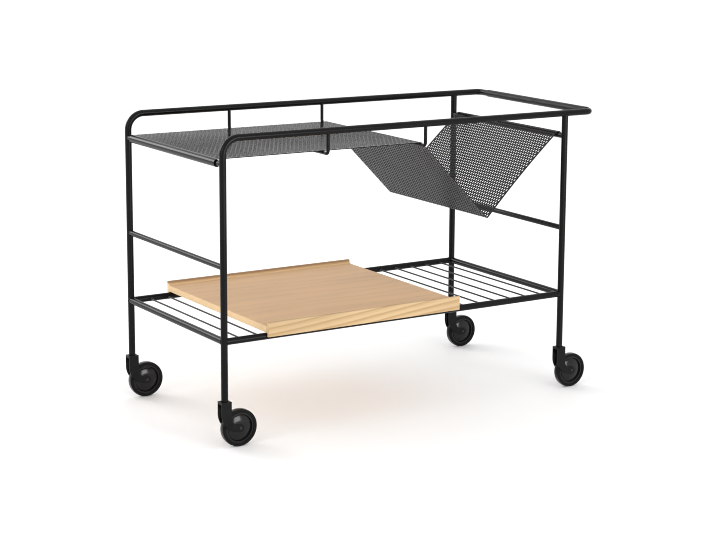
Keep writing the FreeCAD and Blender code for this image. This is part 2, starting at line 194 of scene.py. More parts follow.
def makeSkinGroup(look):
    tree, given, out = newGroup(
        "coatSkin",
        [("Vector", "Vector", None), ("Peel Scale", "Float", 900.0), ("Mottle Scale", "Float", 14.0)],
        [("Height", "Float"), ("Mottle", "Float")])
    here = given["Vector"]
    peel = noise(tree, here, given["Peel Scale"], rough=look["peelRough"])
    speck = noise(tree, here, times(tree, given["Peel Scale"], look["speckRatio"]), look["speckDetail"])
    feed(tree, out["Height"], calc(tree, "MULTIPLY_ADD", speck, look["speckShare"], peel))
    mottle = noise(tree, here, given["Mottle Scale"], look["mottleDetail"], look["mottleRough"],
                   look["mottleDistort"])
    feed(tree, out["Mottle"], spread(tree, mottle, *look["mottleSpan"]))
    return tree


# dust that lies on what faces upwards
dustLook = {"levelSpan": (0.35, 0.95), "cloudScale": 38.0, "cloudDetail": 5.0, "cloudRough": 0.65,
            "cloudSpan": (0.35, 0.75), "gritScale": 1400.0, "gritDetail": 1.0, "gritSpan": (0.45, 0.7),
            "gritShare": 0.5}
dustTone = (0.42, 0.4, 0.37, 1)


def makeDustGroup(look):
    tree, given, out = newGroup(
        "restingDust",
        [("Vector", "Vector", None), ("Facing", "Vector", None), ("Amount", "Float", 0.1)],
        [("Mask", "Float")])
    here = given["Vector"]
    level = spread(tree, splitVector(tree, given["Facing"])[2], *look["levelSpan"])
    clouds = noise(tree, here, look["cloudScale"], look["cloudDetail"], look["cloudRough"])
    grit = spread(tree, noise(tree, here, look["gritScale"], look["gritDetail"]), *look["gritSpan"])
    mixed = calc(tree, "MULTIPLY_ADD", grit, look["gritShare"], spread(tree, clouds, *look["cloudSpan"]))
    feed(tree, out["Mask"], times(tree, level, mixed, given["Amount"]))
    return tree


# patchy edge marks where a bevelled normal leaves the face: wear on the wood, wear and a painted edge
# highlight on the moulded plastics
rubLook = {"samples": 4, "edgeSpan": (0.995, 0.86), "patchScale": 120.0, "patchDetail": 4.0,
           "patchRough": 0.6, "patchSpan": (0.35, 0.65)}


def makeRubGroup(look):
    tree, given, out = newGroup(
        "edgeMarks",
        [("Vector", "Vector", None), ("Facing", "Vector", None), ("Reach", "Float", 0.0006),
         ("Amount", "Float", 0.3)],
        [("Mask", "Float")])
    rounded = put(tree, "ShaderNodeBevel", samples=look["samples"])
    feed(tree, rounded.inputs["Radius"], given["Reach"])
    turnAway = put(tree, "ShaderNodeVectorMath", operation="DOT_PRODUCT")
    feed(tree, turnAway.inputs[0], rounded.outputs[0])
    feed(tree, turnAway.inputs[1], given["Facing"])
    edge = spread(tree, turnAway.outputs["Value"], *look["edgeSpan"])
    patches = noise(tree, given["Vector"], look["patchScale"], look["patchDetail"], look["patchRough"])
    feed(tree, out["Mask"], times(tree, edge, spread(tree, patches, *look["patchSpan"]), given["Amount"]))
    return tree


# rings, streaks and pores of wood whose grain runs along X
figureLook = {"wander": (2.2, 9.0, 9.0), "layerLean": 2.6, "earlyTo": 0.82, "earlyPower": 2.2,
              "streaks": (6.0, 420.0, 420.0), "streakDetail": 3.0, "streakRough": 0.6,
              "streakSpan": (0.3, 0.72), "streakHeight": 0.4, "pores": (55.0, 1500.0, 1500.0),
              "poreDetail": 1.0, "poreSpan": (0.62, 0.74), "poresByRing": (0.05, 0.6, 0.35, 1.0)}


def makeWoodGroup(look):
    tree, given, out = newGroup(
        "woodFigure",
        [("Vector", "Vector", None), ("Ring Scale", "Float", 46.0), ("Ring Bend", "Float", 5.0)],
        [("Rings", "Float"), ("Streaks", "Float"), ("Pores", "Float"), ("Height", "Float")])
    here = given["Vector"]
    # growth rings: layers across the board, bent by slow waves along it
    wander = noise(tree, stretch(tree, here, look["wander"]))
    parts = splitVector(tree, here)
    depth = calc(tree, "MULTIPLY_ADD", parts[2], look["layerLean"], parts[1])
    layer = times(tree, depth, given["Ring Scale"])
    saw = calc(tree, "FRACT", calc(tree, "ADD", layer, times(tree, wander, given["Ring Bend"])))
    early = spread(tree, saw, 0.0, look["earlyTo"])
    late = spread(tree, saw, look["earlyTo"], 1.0, 1.0, 0.0)
    rings = times(tree, calc(tree, "POWER", early, look["earlyPower"]), late)
    feed(tree, out["Rings"], rings)
    fine = noise(tree, stretch(tree, here, look["streaks"]), 1.0, look["streakDetail"], look["streakRough"])
    feed(tree, out["Streaks"], spread(tree, fine, *look["streakSpan"]))
    pore = noise(tree, stretch(tree, here, look["pores"]), 1.0, look["poreDetail"])
    pores = times(tree, spread(tree, pore, *look["poreSpan"]), spread(tree, rings, *look["poresByRing"]))
    feed(tree, out["Pores"], pores)
    streakHeight = times(tree, fine, look["streakHeight"])
    feed(tree, out["Height"], calc(tree, "SUBTRACT", streakHeight, pores))
    return tree


coatSkin = makeSkinGroup(skinLook)
restingDust = makeDustGroup(dustLook)
edgeMarks = makeRubGroup(rubLook)
woodFigure = makeWoodGroup(figureLook)


# black powder coat of the tubes and wires, and of the sheet
framePaintLook = {"name": "framePaint", "tone": (0.0015, 0.0015, 0.0016, 1),
                  "paler": (0.006, 0.006, 0.0062, 1), "ior": 1.24, "rough": (0.22, 0.32), "dust": 0.008}
sheetPaintLook = {"name": "sheetPaint", "tone": (0.003, 0.003, 0.0031, 1),
                  "paler": (0.008, 0.008, 0.0082, 1), "ior": 1.25, "rough": (0.18, 0.26), "dust": 0.01}
powderLook = {"peel": 1100.0, "peelDepth": 0.00002, "peelStrength": 0.35, "mottle": 9.0, "wornShare": 0.35,
              "dustRough": 0.8}


def paintMaterial(look, powder):
    material, tree, shader = newMaterial(look["name"], IOR=look["ior"])
    here = coords(tree)
    facing = coords(tree, "Normal")
    skin = useGroup(tree, coatSkin, Vector=here, Peel_Scale=powder["peel"], Mottle_Scale=powder["mottle"])
    dust = useGroup(tree, restingDust, Vector=here, Facing=facing, Amount=look["dust"])["Mask"]
    wornShare = times(tree, skin["Mottle"], powder["wornShare"])
    base = blendColour(tree, wornShare, look["tone"], look["paler"])
    rough = spread(tree, skin["Mottle"], 0.0, 1.0, *look["rough"])
    fill(tree, shader, Base_Color=blendColour(tree, dust, base, dustTone),
         Roughness=calc(tree, "MULTIPLY_ADD", dust, powder["dustRough"], rough),
         Normal=bump(tree, skin["Height"], powder["peelStrength"], powder["peelDepth"]))
    return material


framePaint = paintMaterial(framePaintLook, powderLook)
sheetPaint = paintMaterial(sheetPaintLook, powderLook)
frameNodes = [name for name in nodes if name.startswith(
    ("top_rail", "right_leg", "lower_", "shelf_bar", "mid_rung", "cradle_wire"))]
dress(framePaint, *frameNodes)
dress(sheetPaint, "perforated_shelf")
print("frame paint on", len(frameNodes), "nodes")


# black leather of the handle sleeve, with faint paler, glossier streaks along it: painted sheen
gripLook = {"name": "gripLeather", "tone": (0.002, 0.002, 0.002, 1), "paler": (0.012, 0.012, 0.012, 1),
            "ior": 1.3, "rough": (0.42, 0.26), "grainScale": 900.0, "grainDepth": 0.00008,
            "grainStrength": 0.5, "creaseWidth": 0.12, "streaks": (260.0, 22.0, 260.0), "streakDetail": 3.0,
            "streakRough": 0.6, "sheenSpan": (0.42, 0.72)}


def leatherMaterial(look):
    material, tree, shader = newMaterial(look["name"], IOR=look["ior"])
    here = coords(tree)
    grain = put(tree, "ShaderNodeTexVoronoi", feature="DISTANCE_TO_EDGE")
    fill(tree, grain, Vector=here, Scale=look["grainScale"])
    crease = spread(tree, grain.outputs["Distance"], 0.0, look["creaseWidth"])
    sheenStreak = noise(tree, stretch(tree, here, look["streaks"]), 1.0, look["streakDetail"],
                   look["streakRough"])
    # the paler streaks stand in for sheen along the sleeve: painted sheen
    paler = spread(tree, sheenStreak, *look["sheenSpan"])
    fill(tree, shader, Base_Color=blendColour(tree, paler, look["tone"], look["paler"]),
         Roughness=spread(tree, paler, 0.0, 1.0, *look["rough"]),
         Normal=bump(tree, crease, look["grainStrength"], look["grainDepth"]))
    return material


dress(leatherMaterial(gripLook), "handle_grip")
print("leather on the handle sleeve")


# pale wood of the tray: the panel and each lip are cut from different boards, and the front lip's tone is
# also painted darker, as painted shade
trayLooks = {
    "tray_panel": {"pale": (0.675, 0.437, 0.247, 1), "dark": (0.53, 0.318, 0.16, 1),
                   "end": (0.95, 0.69, 0.39, 1), "ringScale": 30.0, "ringBend": 3.4, "ringShare": 0.36,
                   "shift": (0.3, 0.0, 0.0), "tilt": 0.0, "crestShade": 0.0},
    "tray_front_lip": {"pale": (0.585, 0.416, 0.234, 1), "dark": (0.38, 0.238, 0.107, 1),
                       "end": (0.7, 0.48, 0.25, 1), "ringScale": 34.0, "ringBend": 2.6, "ringShare": 0.75,
                       "shift": (1.7, 0.05, 0.02), "tilt": 5.5, "crestShade": 0.0},
    "tray_back_lip": {"pale": (0.73, 0.49, 0.27, 1), "dark": (0.5, 0.3, 0.14, 1),
                      "end": (0.95, 0.69, 0.39, 1), "ringScale": 40.0, "ringBend": 3.0, "ringShare": 0.3,
                      "shift": (3.1, 0.11, 0.04), "tilt": 1.5, "crestShade": 0.8},
}
boardLook = {"ior": 1.3, "coatRough": 0.35, "coat": (0.04, 0.0), "rough": (0.6, 0.5), "grainStrength": 0.3,
             "grainDepth": 0.00012, "streakShare": 0.22, "poreShare": 0.35,
             "poreTone": (0.3, 0.17, 0.075, 1), "clouds": (3.0, 11.0, 11.0),
             "cloudSpan": (0.3, 0.7, 0.92, 1.06), "endSpan": (0.75, 0.98), "endShare": 0.85,
             "endGrain": (200.0, 900.0, 900.0), "endGrainSpan": (0.35, 0.65, 0.0, 0.4),
             "crestShadeTone": (0.22, 0.125, 0.055, 1), "crestFrom": 0.0062, "crestTo": 0.0022,
             "rubReach": 0.0012, "edgeMark": 0.2}


def woodMaterial(node, look, board):
    material, tree, shader = newMaterial(node.replace("tray_", "wood_"), IOR=board["ior"],
                                         Coat_Roughness=board["coatRough"])
    here = coords(tree)
    facing = coords(tree, "Normal")
    grain = stretch(tree, here, (1, 1, 1), look["shift"], (0, math.radians(look["tilt"]), 0))
    figure = useGroup(tree, woodFigure, Vector=grain, Ring_Scale=look["ringScale"],
                      Ring_Bend=look["ringBend"])
    ringShare = times(tree, figure["Rings"], look["ringShare"])
    darkShare = calc(tree, "MULTIPLY_ADD", figure["Streaks"], board["streakShare"], ringShare)
    ringed = blendColour(tree, darkShare, look["pale"], look["dark"])
    pored = blendColour(tree, times(tree, figure["Pores"], board["poreShare"]), ringed, board["poreTone"])
    cloud = spread(tree, noise(tree, stretch(tree, grain, board["clouds"])), *board["cloudSpan"])
    toned = made(tree, "ShaderNodeHueSaturation", Color=pored, Value=cloud)
    # the end faces are paler: partly end grain, partly painted light
    endGrainAndLightFaces = spread(tree, calc(tree, "ABSOLUTE", splitVector(tree, facing)[0]), *board["endSpan"])
    endGrain = spread(tree, noise(tree, stretch(tree, grain, board["endGrain"])), *board["endGrainSpan"])
    endGrainAndLightTone = blendColour(tree, endGrain, look["end"], look["pale"])
    mixed = blendColour(tree, times(tree, endGrainAndLightFaces, board["endShare"]), toned, endGrainAndLightTone)
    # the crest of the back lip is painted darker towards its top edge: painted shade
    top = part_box(node)[1].z
    crestShade = spread(tree, splitVector(tree, here)[2], top - board["crestFrom"], top - board["crestTo"], 0.0,
                   look["crestShade"])
    mixed = blendColour(tree, crestShade, mixed, board["crestShadeTone"])
    edgeMark = useGroup(tree, edgeMarks, Vector=here, Facing=facing, Reach=board["rubReach"],
                   Amount=board["edgeMark"])["Mask"]
    fill(tree, shader, Base_Color=blendColour(tree, edgeMark, mixed, look["dark"]),
         Roughness=spread(tree, figure["Rings"], 0.0, 1.0, *board["rough"]),
         Coat_Weight=spread(tree, figure["Pores"], 0.0, 1.0, *board["coat"]),
         Normal=bump(tree, figure["Height"], board["grainStrength"], board["grainDepth"]))
    return material


for trayNode, trayLook in trayLooks.items():
    dress(woodMaterial(trayNode, trayLook, boardLook), trayNode)
print("wood on the tray")


# moulded plastics and rubber of the casters
forkLook = {"name": "forkPlastic", "tone": (0.003, 0.003, 0.0032, 1), "edgeMark": (0.02, 0.02, 0.02, 1),
            "ior": 1.22, "rough": (0.3, 0.42), "peel": 700.0, "peelDepth": 0.00002, "edge": 0.3,
            "dust": 0.01}
hubLook = {"name": "hubPlastic", "tone": (0.003, 0.003, 0.0032, 1), "edgeMark": (0.02, 0.02, 0.02, 1),
           "ior": 1.36, "rough": (0.12, 0.18), "peel": 500.0, "peelDepth": 0.00001, "edge": 0.3,
           "dust": 0.006}
socketLook = {"name": "socketPlastic", "tone": (0.003, 0.003, 0.003, 1), "edgeMark": (0.02, 0.02, 0.02, 1),
              "ior": 1.3, "rough": (0.45, 0.55), "peel": 800.0, "peelDepth": 0.00002, "edge": 0.2,
              "dust": 0.005}
pinLook = {"name": "blackPin", "tone": (0.006, 0.006, 0.0064, 1), "edgeMark": (0.08, 0.08, 0.08, 1),
           "ior": 1.4, "rough": (0.3, 0.4), "peel": 1500.0, "peelDepth": 0.00001, "edge": 0.4,
           "dust": 0.005}
tyreLook = {"name": "tyreRubber", "tone": (0.002, 0.002, 0.002, 1), "edgeMark": (0.01, 0.01, 0.0098, 1),
            "ior": 1.2, "rough": (0.35, 0.45), "peel": 900.0, "peelDepth": 0.00003, "edge": 0.2,
            "dust": 0.008, "glance": 0.8, "glanceBlend": 0.5, "glanceSpan": (0.35, 0.65),
            "glanceRough": 0.25}
mouldLook = {"mottle": 45.0, "mottleShare": 0.12, "rubReach": 0.0005, "rubRough": 0.2, "peelStrength": 0.3}


def mouldedMaterial(look, mould):
    material, tree, shader = newMaterial(look["name"], IOR=look["ior"])
    here = coords(tree)
    facing = coords(tree, "Normal")
    skin = useGroup(tree, coatSkin, Vector=here, Peel_Scale=look["peel"], Mottle_Scale=mould["mottle"])
    edgeMark = useGroup(tree, edgeMarks, Vector=here, Facing=facing, Reach=mould["rubReach"],
                   Amount=look["edge"])["Mask"]
    dust = useGroup(tree, restingDust, Vector=here, Facing=facing, Amount=look["dust"])["Mask"]
    base = blendColour(tree, times(tree, skin["Mottle"], mould["mottleShare"]), look["tone"], look["edgeMark"])
    # the paler edge colour blended in at the bevelled edges is partly wear and partly a painted edge
    # highlight
    base = blendColour(tree, edgeMark, base, look["edgeMark"])
    rough = spread(tree, skin["Mottle"], 0.0, 1.0, *look["rough"])
    fill(tree, shader, Base_Color=blendColour(tree, dust, base, dustTone),
         Roughness=calc(tree, "MULTIPLY_ADD", edgeMark, mould["rubRough"], rough),
         Normal=bump(tree, skin["Height"], mould["peelStrength"], look["peelDepth"]))
    if "glance" in look:  # rubber shines when seen along its skin
        slant = put(tree, "ShaderNodeLayerWeight")
        feed(tree, slant.inputs["Blend"], look["glanceBlend"])
        shine = spread(tree, slant.outputs["Facing"], *look["glanceSpan"], 0.0, look["glance"])
        fill(tree, shader, Coat_Weight=shine, Coat_Roughness=look["glanceRough"])
    return material


forkPlastic = mouldedMaterial(forkLook, mouldLook)
blackPin = mouldedMaterial(pinLook, mouldLook)
casterFinishes = {
    "caster_fork": forkPlastic,
    "wheel_hub": mouldedMaterial(hubLook, mouldLook),
    "stem_socket": mouldedMaterial(socketLook, mouldLook),
    "wheel_axle": blackPin,
    "swivel_stem": blackPin,
    "tyre": mouldedMaterial(tyreLook, mouldLook),
}
for casterPiece, finish in casterFinishes.items():
    dress(finish, *[casterPiece + "_" + corner for corner in cornerNames])
print("casters dressed")


# turning a geometry tree into a plain mesh, and a mesh into a finished piece
mergeDistance = 1e-6


def linkObject(name, data):
    thing = bpy.data.objects.new(name, data)
    scene.collection.objects.link(thing)
    return thing


def growMesh(tree, name, settings, carrier=None):
    grower = linkObject(name + "Grower", carrier or bpy.data.meshes.new(name + "Seed"))
    modifier = grower.modifiers.new("grow", "NODES")
    modifier.node_group = tree
    for item in tree.interface.items_tree:
        if item.item_type == "SOCKET" and item.in_out == "INPUT" and item.name in settings:
            modifier[item.identifier] = settings[item.name]
    bpy.context.view_layer.update()
    grown = bpy.data.meshes.new_from_object(grower.evaluated_get(bpy.context.evaluated_depsgraph_get()))
    grown.name = name
    bpy.data.objects.remove(grower)
    return grown


def finishPiece(name, mesh, body, sharpAngle=35.0, replaced=()):
    work = bmesh.new()
    work.from_mesh(mesh)
    bmesh.ops.remove_doubles(work, verts=work.verts, dist=mergeDistance)
    bmesh.ops.recalc_face_normals(work, faces=work.faces)
    work.to_mesh(mesh)
    work.free()
    mesh.shade_smooth()
    mesh.set_sharp_from_angle(angle=math.radians(sharpAngle))
    piece = linkObject(name, mesh)
    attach(piece, body)
    if replaced:
        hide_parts(*replaced)
    print(name, len(mesh.polygons), "faces")


# helpers for geometry trees
def joined(tree, *shapes):
    node = put(tree, "GeometryNodeJoinGeometry")
    for shape in shapes:
        tree.links.new(shape, node.inputs[0])
    return node.outputs[0]


def movedBy(tree, shape, offset):
    return made(tree, "GeometryNodeTransform", Geometry=shape, Translation=offset)


def welded(tree, shape):
    return made(tree, "GeometryNodeMergeByDistance", Geometry=shape, Distance=mergeDistance)


def realized(tree, shape):
    return made(tree, "GeometryNodeRealizeInstances", Geometry=shape)


def endTree(tree, out, shape, material):
    shape = made(tree, "GeometryNodeSetMaterial", Geometry=realized(tree, shape), Material=material)
    feed(tree, out["Geometry"], shape)


# perforated sheet: tiles with one hole each, laid in staggered rows and bent along the side profile
sheetLook = {"thickness": 0.0015, "curlGap": 0.0008, "seatGap": 0.00005, "foldFromLeft": 0.5603,
             "foldInside": 0.002, "bow": 0.003, "bowRounds": 8, "curlFrom": 285.0, "curlTo": -5.0,
             "arcStep": 4.0, "bowStep": 1.0, "plainCurl": 0.0205, "holeDiameter": 0.0052, "holeSides": 12,
             "pitch": 0.0072, "rowPitch": 0.00624, "columns": 45, "plainCuts": 24, "flatCuts": 0,
             "bentCuts": 3}


def onCircle(centre, radius, degrees):
    turn = math.radians(degrees)
    return Vector((centre[0] + radius * math.cos(turn), 0, centre[1] + radius * math.sin(turn)))


def arcPoints(centre, radius, first, last, step):
    count = max(2, math.ceil(abs(last - first) / step))
    angles = [first + (last - first) * number / count for number in range(count + 1)]
    return [onCircle(centre, radius, angle) for angle in angles]


def pathLength(points):
    return sum((b - a).length for a, b in zip(points, points[1:]))


def sheetProfile(look):
    barSeat = barRadius + look["curlGap"]
    wireSeat = cradleRadius + look["seatGap"]
    foldUnder = look["foldInside"] + look["thickness"]
    rightBar = (rightX, shelfBarZ)
    wire = (cradleXs[1], cradleZ)
    fold = (leftX + look["foldFromLeft"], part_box("perforated_shelf")[0].z + foldUnder)
    downX, downZ = fold[0] - wire[0], fold[1] - wire[1]
    crossing = math.asin((wireSeat + foldUnder) / math.hypot(downX, downZ))
    down = math.degrees(math.atan2(downZ, downX) - crossing)
    # the right panel bows into the pocket: slope and lean settle in a few rounds
    up, lean = 90.0 + down, 0.0
    for settle in range(look["bowRounds"]):
        start = onCircle(fold, foldUnder, 270.0 + up + lean)
        chord = onCircle(rightBar, barSeat, 90.0 + up - lean) - start
        up = math.degrees(math.atan2(chord.z, chord.x))
        lean = math.degrees(2 * math.atan(2 * look["bow"] / chord.length))
    bowRadius = chord.length / (2 * math.sin(math.radians(lean)))
    bowCentre = onCircle((start.x, start.z), bowRadius, 270.0 + up + lean)
    step = look["arcStep"]
    shelf = arcPoints((leftX, shelfBarZ), barSeat, look["curlFrom"], 90.0, step)
    leftPanel = arcPoints(wire, wireSeat, 90.0, 90.0 + down, step)
    shelf.append(leftPanel[0])
    rightPanel = arcPoints(fold, foldUnder, 270.0 + down, 270.0 + up + lean, step)
    leftPanel.append(rightPanel[0])
    bowFrom, bowTo = 90.0 + up + lean, 90.0 + up - lean
    bow = arcPoints((bowCentre.x, bowCentre.z), bowRadius, bowFrom, bowTo, look["bowStep"])
    rightCurl = arcPoints(rightBar, barSeat, bowTo, look["curlTo"], step)
    return shelf, leftPanel, rightPanel + bow[1:] + rightCurl[1:]


def profileCurve(points):
    curve = bpy.data.curves.new("sheetProfile", "CURVE")
    curve.dimensions = "3D"
    spline = curve.splines.new("POLY")
    spline.points.add(len(points) - 1)
    for splinePoint, point in zip(spline.points, points):
        splinePoint.co = (*point, 1)
    return linkObject("sheetProfile", curve)


# one tile, punched or plain: its sides have the points that the neighbouring rows need
def sheetTile(tree, given, alongPoints):
    border = made(tree, "GeometryNodeCurvePrimitiveQuadrilateral", Width=given["Row Pitch"],
                  Height=given["Pitch"])
    cuts = put(tree, "ShaderNodeMix", data_type="FLOAT")
    feed(tree, cuts.inputs[0], calc(tree, "MODULO", made(tree, "GeometryNodeInputIndex"), 2.0))
    feed(tree, cuts.inputs[2], given["Along Cuts"])
    feed(tree, cuts.inputs[3], 1.0)  # towards the next row: one point, where two of its tiles meet
    border = made(tree, "GeometryNodeSubdivideCurve", Curve=border, Cuts=cuts.outputs[0])
    hole = made(tree, "GeometryNodeCurvePrimitiveCircle", Resolution=given["Hole Sides"],
                Radius=given["Hole Radius"])
    punched = made(tree, "GeometryNodeFillCurve", Curve=joined(tree, border, hole))
    plain = made(tree, "GeometryNodeMeshGrid", Size_X=given["Row Pitch"], Size_Y=given["Pitch"],
                 Vertices_X=alongPoints, Vertices_Y=3)
    tile = put(tree, "GeometryNodeSwitch", input_type="GEOMETRY")
    fill(tree, tile, Switch=given["Punched"], **{"False": plain, "True": punched})
    return tile.outputs[0]


# one row: tiles a quarter pitch to one side, half a tile after them, and both margins
def sheetRow(tree, given, tile, alongPoints):
    def strip(width):
        return made(tree, "GeometryNodeMeshGrid", Size_X=given["Row Pitch"], Size_Y=width,
                    Vertices_X=alongPoints, Vertices_Y=2)

    pitch, columns = given["Pitch"], given["Columns"]
    halfRow = times(tree, columns, pitch, 0.5)
    quarterPitch = times(tree, pitch, 0.25)
    tilesTo = calc(tree, "ADD", halfRow, quarterPitch)
    margin = calc(tree, "SUBTRACT", times(tree, given["Width"], 0.5), tilesTo)
    marginY = calc(tree, "ADD", tilesTo, times(tree, margin, 0.5))
    firstY = calc(tree, "SUBTRACT", quarterPitch, halfRow)
    tileY = calc(tree, "MULTIPLY_ADD", made(tree, "GeometryNodeInputIndex"), pitch, firstY)
    places = made(tree, "GeometryNodePoints", Count=columns, Position=vector(tree, y=tileY))
    tiles = made(tree, "GeometryNodeInstanceOnPoints", Points=places, Instance=tile)
    halfTile = movedBy(tree, strip(times(tree, pitch, 0.5)), vector(tree, y=halfRow))
    edge = strip(margin)
    farEdge = movedBy(tree, edge, vector(tree, y=marginY))
    nearEdge = movedBy(tree, edge, vector(tree, y=times(tree, marginY, -1.0)))
    return realized(tree, joined(tree, tiles, halfTile, farEdge, nearEdge))


# rows side by side, every second one turned half round
def layRows(tree, given, row):
    index = made(tree, "GeometryNodeInputIndex")
    along = calc(tree, "MULTIPLY_ADD", calc(tree, "ADD", index, 0.5), given["Row Pitch"], given["Start"])
    places = made(tree, "GeometryNodePoints", Count=given["Rows"], Position=vector(tree, x=along))
    odd = calc(tree, "MODULO", calc(tree, "ADD", index, given["First Row"]), 2.0)
    halfTurn = made(tree, "FunctionNodeEulerToRotation", Euler=vector(tree, z=times(tree, odd, math.pi)))
    rows = made(tree, "GeometryNodeInstanceOnPoints", Points=places, Instance=row, Rotation=halfTurn)
    return welded(tree, realized(tree, rows))


# thickness, upwards from the underside
def thicken(tree, given, flat):
    raised = put(tree, "GeometryNodeExtrudeMesh", mode="FACES")
    fill(tree, raised, Mesh=flat, Offset=vector(tree, z=given["Thickness"]), Offset_Scale=1.0,
         Individual=False)
    under = made(tree, "GeometryNodeFlipFaces", Mesh=flat)
    return welded(tree, joined(tree, raised.outputs["Mesh"], under))


# bend: distance along the sheet runs along the profile, height along its normal
def bendAlong(tree, given, solid):
    spot = splitVector(tree, made(tree, "GeometryNodeInputPosition"))
    profile = fill(tree, put(tree, "GeometryNodeObjectInfo"), Object=given["Profile"]).outputs["Geometry"]
    sample = put(tree, "GeometryNodeSampleCurve", mode="LENGTH")
    fill(tree, sample, Curves=profile, Length=spot[0])
    ahead = splitVector(tree, sample.outputs["Tangent"])
    foot = splitVector(tree, sample.outputs["Position"])
    outX = calc(tree, "SUBTRACT", foot[0], times(tree, ahead[2], spot[2]))
    outZ = calc(tree, "MULTIPLY_ADD", ahead[0], spot[2], foot[2])
    return made(tree, "GeometryNodeSetPosition", Geometry=solid, Position=vector(tree, outX, spot[1], outZ))


def makeSheetTree():
    tree, given, out = newGroup(
        "perforatedSheet",
        [("Geometry", "Geometry", None), ("Punched", "Bool", True), ("Start", "Float", 0.0),
         ("Row Pitch", "Float", 0.006), ("Rows", "Int", 10), ("First Row", "Int", 0),
         ("Pitch", "Float", 0.007), ("Columns", "Int", 10), ("Width", "Float", 0.3),
         ("Thickness", "Float", 0.0015), ("Hole Radius", "Float", 0.0025), ("Hole Sides", "Int", 12),
         ("Along Cuts", "Int", 1), ("Profile", "Object", None), ("Material", "Material", None)],
        [("Geometry", "Geometry")], "GeometryNodeTree")
    alongPoints = calc(tree, "ADD", given["Along Cuts"], 2.0)
    tile = sheetTile(tree, given, alongPoints)
    flat = layRows(tree, given, sheetRow(tree, given, tile, alongPoints))
    endTree(tree, out, bendAlong(tree, given, thicken(tree, given, flat)), given["Material"])
    return tree


def makeSheet(look):
    shelf, leftPanel, rightPanel = sheetProfile(look)
    toPocket = pathLength(shelf)
    toFold = toPocket + pathLength(leftPanel)
    length = toFold + pathLength(rightPanel)
    profile = profileCurve(shelf + leftPanel[1:] + rightPanel[1:])
    tree = makeSheetTree()
    rowPitch = look["rowPitch"]
    rows = math.floor((length - look["plainCurl"]) / rowPitch)
    plain = length - rows * rowPitch
    pocketRow = math.floor((toPocket - plain) / rowPitch)
    foldRow = math.floor((toFold - plain) / rowPitch)

    def punched(first, last, cuts):
        return {"Punched": True, "Start": plain + first * rowPitch, "Row Pitch": rowPitch,
                "Rows": last - first, "First Row": first % 2, "Along Cuts": cuts}

    common = {"Pitch": look["pitch"], "Columns": look["columns"], "Width": sizeOf("perforated_shelf").y,
              "Thickness": look["thickness"], "Hole Radius": look["holeDiameter"] / 2,
              "Hole Sides": look["holeSides"], "Profile": profile, "Material": sheetPaint}
    stretches = {
        "sheetCurl": {"Punched": False, "Start": 0.0, "Row Pitch": plain, "Rows": 1,
                      "Along Cuts": look["plainCuts"]},
        "shelfSheet": punched(0, pocketRow, look["flatCuts"]),
        "leftPocketSheet": punched(pocketRow, foldRow, look["bentCuts"]),
        "rightPocketSheet": punched(foldRow, rows, look["bentCuts"]),
    }
    for name, settings in stretches.items():
        mesh = growMesh(tree, name, {**common, **settings})
        finishPiece(name, mesh, "frame", replaced=["perforated_shelf"])
    bpy.data.objects.remove(profile)
    print("sheet:", rows * look["columns"], "holes")


makeSheet(sheetLook)


# caster forks: behind the stem the moulding is open between its arms, up to the cap
forkBackLook = {"arm": 0.002, "cap": 0.0046, "openTo": 0.003, "stemBoss": 0.0048, "reach": 0.03,
                "bossSides": 48}


def cutAway(tree, shape, tool):
    node = put(tree, "GeometryNodeMeshBoolean", operation="DIFFERENCE", solver="EXACT")
    return fill(tree, node, Mesh_1=shape, Mesh_2=tool).outputs[0]


def makeForkTree():
    tree, given, out = newGroup(
        "openBackFork",
        [("Geometry", "Geometry", None), ("Stem", "Vector", None), ("Cap Under", "Float", 0.08),
         ("Gap", "Float", 0.012), ("Open To", "Float", 0.003), ("Reach", "Float", 0.03),
         ("Boss Radius", "Float", 0.005), ("Boss Sides", "Int", 48), ("Material", "Material", None)],
        [("Geometry", "Geometry")], "GeometryNodeTree")
    stem = splitVector(tree, given["Stem"])
    length = calc(tree, "ADD", given["Reach"], given["Open To"])
    halfway = times(tree, calc(tree, "SUBTRACT", given["Open To"], given["Reach"]), 0.5)
    middleX = calc(tree, "ADD", stem[0], halfway)
    middleZ = times(tree, given["Cap Under"], 0.5)
    block = made(tree, "GeometryNodeMeshCube", Size=vector(tree, length, given["Gap"], given["Cap Under"]))
    block = movedBy(tree, block, vector(tree, middleX, stem[1], middleZ))
    boss = made(tree, "GeometryNodeMeshCylinder", Vertices=given["Boss Sides"], Radius=given["Boss Radius"],
                Depth=times(tree, given["Cap Under"], 2.0))
    boss = movedBy(tree, boss, vector(tree, stem[0], stem[1], middleZ))
    fork = cutAway(tree, welded(tree, given["Geometry"]), cutAway(tree, block, boss))
    endTree(tree, out, fork, given["Material"])
    return tree


def makeForks(look):
    tree = makeForkTree()
    for corner in cornerNames:
        node = "caster_fork_" + corner
        settings = {"Stem": tuple(middleOf("stem_socket_" + corner)),
                    "Cap Under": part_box(node)[1].z - look["cap"], "Gap": sizeOf(node).y - 2 * look["arm"],
                    "Open To": look["openTo"], "Reach": look["reach"], "Boss Radius": look["stemBoss"],
                    "Boss Sides": look["bossSides"], "Material": forkPlastic}
        mesh = growMesh(tree, "openFork_" + corner, settings, nodes[node].data.copy())
        finishPiece("openFork_" + corner, mesh, "caster_" + corner, replaced=[node])


makeForks(forkBackLook)


# weld beads: a ring on the saddle where a bar meets a tube, copied to every joint of its size
weldLook = {"barBead": 0.0009, "wireBead": 0.0006, "ringSteps": 36, "beadSides": 8, "ripple": 0.12,
            "rippleTurn": 2.1, "rackBays": 20, "sharpAngle": 60.0}


